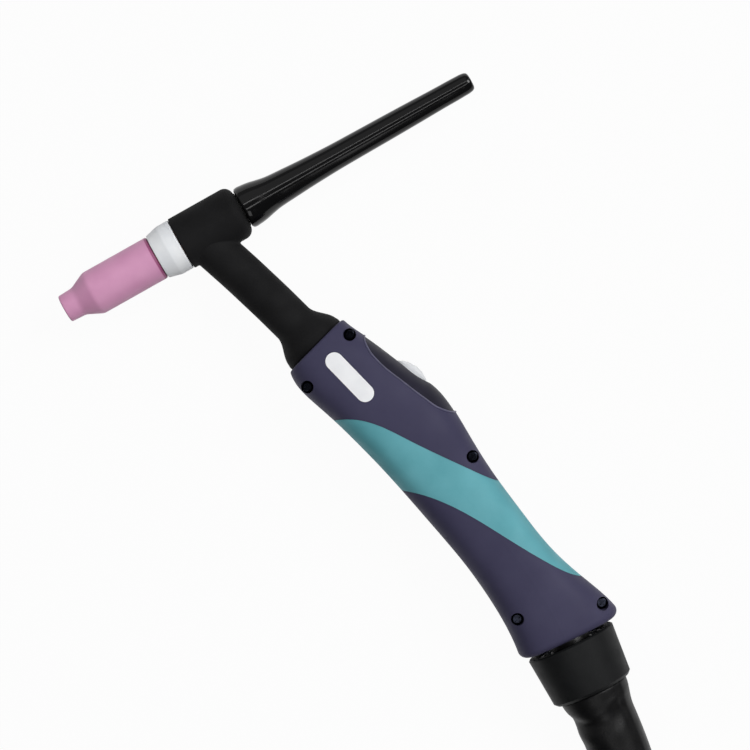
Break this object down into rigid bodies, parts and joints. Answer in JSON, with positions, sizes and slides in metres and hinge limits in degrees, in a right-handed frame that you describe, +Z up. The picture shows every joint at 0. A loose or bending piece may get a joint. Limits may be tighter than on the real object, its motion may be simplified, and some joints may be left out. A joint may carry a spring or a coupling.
{
  "type": "tig torch",
  "caption": "Gas-cooled TIG welding torch: ceramic nozzle, long back cap, flexible neck, switch handle with soft grip band, swivel and a sleeved cable put away as a coil.",
  "frame": {"origin": "on the flat under the handle that the torch rests on, below the middle of the grip", "axes": "+Z up, square to the flat the torch lies on; +Y towards the head's end; +X towards the trigger's side, as one looks down on it"},
  "size_m": [0.3646, 0.7027, 0.0576],
  "materials": {
    "nozzle_ceramic": "matt",
    "insulator": "matt",
    "neck_rubber": "matt",
    "cap_phenolic": "gloss",
    "shell_plastic": "satin",
    "grip_rubber": "matt",
    "label": "satin",
    "screw_steel": "blackened",
    "housing_plastic": "satin",
    "button_plastic": "satin",
    "switch_plastic": "satin",
    "plunger_plastic": "gloss",
    "brass": "machined",
    "copper": "drawn",
    "tungsten": "ground",
    "cup_plastic": "satin",
    "seat_plastic": "smooth",
    "spring_steel": "bright",
    "cable_sleeve": "satin",
    "tie_webbing": "woven",
    "lead_insulation": "smooth",
    "oring_rubber": "smooth",
    "plug_rubber": "matt"
  },
  "bodies": {
    "cable_end": {"swivel_cup": "cup_plastic", "retaining_ring": "spring_steel", "cover_cuff": "cable_sleeve", "cable_cover": "cable_sleeve", "cable_coil": "cable_sleeve", "coil_ties": "tie_webbing", "cable_boot": "plug_rubber", "power_plug_sleeve": "plug_rubber", "power_plug_pin": "brass", "gas_nipple": "brass", "control_lead": "lead_insulation", "control_plug_body": "switch_plastic", "control_plug_pins": "brass"},
    "control_ring": {"control_plug_ring": "switch_plastic"},
    "seat": {"ball_seat_ring": "seat_plastic"},
    "handle": {"handle_shell_upper": "shell_plastic", "handle_shell_lower": "shell_plastic", "grip_inlay_upper": "grip_rubber", "grip_inlay_lower": "grip_rubber", "label_plate": "label", "handle_screws": "screw_steel", "switch_housing": "housing_plastic", "microswitch_body": "switch_plastic", "switch_leads": "lead_insulation", "neck_jacket_rear": "neck_rubber", "neck_tube_rear": "copper", "neck_union": "brass", "cable_ferrule": "copper", "inner_cable": "lead_insulation", "swivel_ball": "seat_plastic"},
    "trigger": {"trigger_button": "button_plastic"},
    "plunger": {"microswitch_plunger": "plunger_plastic"},
    "neck_middle": {"neck_jacket_middle": "neck_rubber", "neck_tube_middle": "copper"},
    "head": {"head_jacket": "neck_rubber", "head_body": "brass", "neck_tube_front": "copper", "collet_body": "copper", "collet": "copper"},
    "gasket": {"nozzle_gasket": "insulator"},
    "nozzle": {"ceramic_nozzle": "nozzle_ceramic"},
    "oring": {"back_cap_oring": "oring_rubber"},
    "cap": {"back_cap": "cap_phenolic"},
    "electrode": {"tungsten_electrode": "tungsten"}
  },
  "joints": [
    {"name": "swivel_spin", "type": "hinge", "parent": "cable_end", "child": "seat", "pos_m": [0.06239, -0.08062, 0.021], "axis": [-0.4321, 0.9018, 0], "range_deg": [0, 120]},
    {"name": "swivel_tilt", "type": "hinge", "parent": "seat", "child": "handle", "pos_m": [0.06239, -0.08062, 0.021], "axis": [0, 0, 1], "range_deg": [-5, 5]},
    {"name": "neck_bend", "type": "hinge", "parent": "handle", "child": "neck_middle", "pos_m": [-0.075, 0.0796, 0.021], "axis": [0, 0, 1], "range_deg": [-20, 20]},
    {"name": "head_bend", "type": "hinge", "parent": "neck_middle", "child": "head", "pos_m": [-0.08958, 0.09329, 0.021], "axis": [0, 0, 1], "range_deg": [-20, 20]},
    {"name": "gasket_slide", "type": "slide", "parent": "head", "child": "gasket", "axis": [-0.8712, -0.4909, 0], "range_m": [0, 0.003]},
    {"name": "nozzle_turn", "type": "hinge", "parent": "gasket", "child": "nozzle", "pos_m": [-0.10906, 0.11052, 0.021], "axis": [-0.8712, -0.4909, 0], "range_deg": [0, 1080]},
    {"name": "oring_slide", "type": "slide", "parent": "head", "child": "oring", "axis": [0.8712, 0.4909, 0], "range_m": [0, 0.003]},
    {"name": "cap_turn", "type": "hinge", "parent": "oring", "child": "cap", "pos_m": [-0.10906, 0.11052, 0.021], "axis": [0.8712, 0.4909, 0], "range_deg": [0, 1080]},
    {"name": "electrode_slide", "type": "slide", "parent": "head", "child": "electrode", "axis": [-0.8712, -0.4909, 0], "range_m": [-0.02, 0.012]},
    {"name": "trigger_press", "type": "slide", "parent": "handle", "child": "trigger", "axis": [-0.6042, -0.7968, 0], "range_m": [0, 0.0015], "stiffness_N_per_m": 1500, "springref_m": -0.001},
    {"name": "plunger_press", "type": "slide", "parent": "handle", "child": "plunger", "axis": [-0.6042, -0.7968, 0], "range_m": [0, 0.0013]},
    {"name": "control_ring_turn", "type": "hinge", "parent": "cable_end", "child": "control_ring", "pos_m": [-0.246, -0.459, 0.0096], "axis": [0, 1, 0], "range_deg": [0, 120]}
  ],
  "couplings": [
    {"joint": "head_bend", "follows": "neck_bend", "ratio": 1},
    {"joint": "nozzle_turn", "follows": "gasket_slide", "rad_per_m": 6283.1},
    {"joint": "cap_turn", "follows": "oring_slide", "rad_per_m": 6283.1},
    {"joint": "plunger_press", "follows": "trigger_press", "ratio": 0.85}
  ]
}
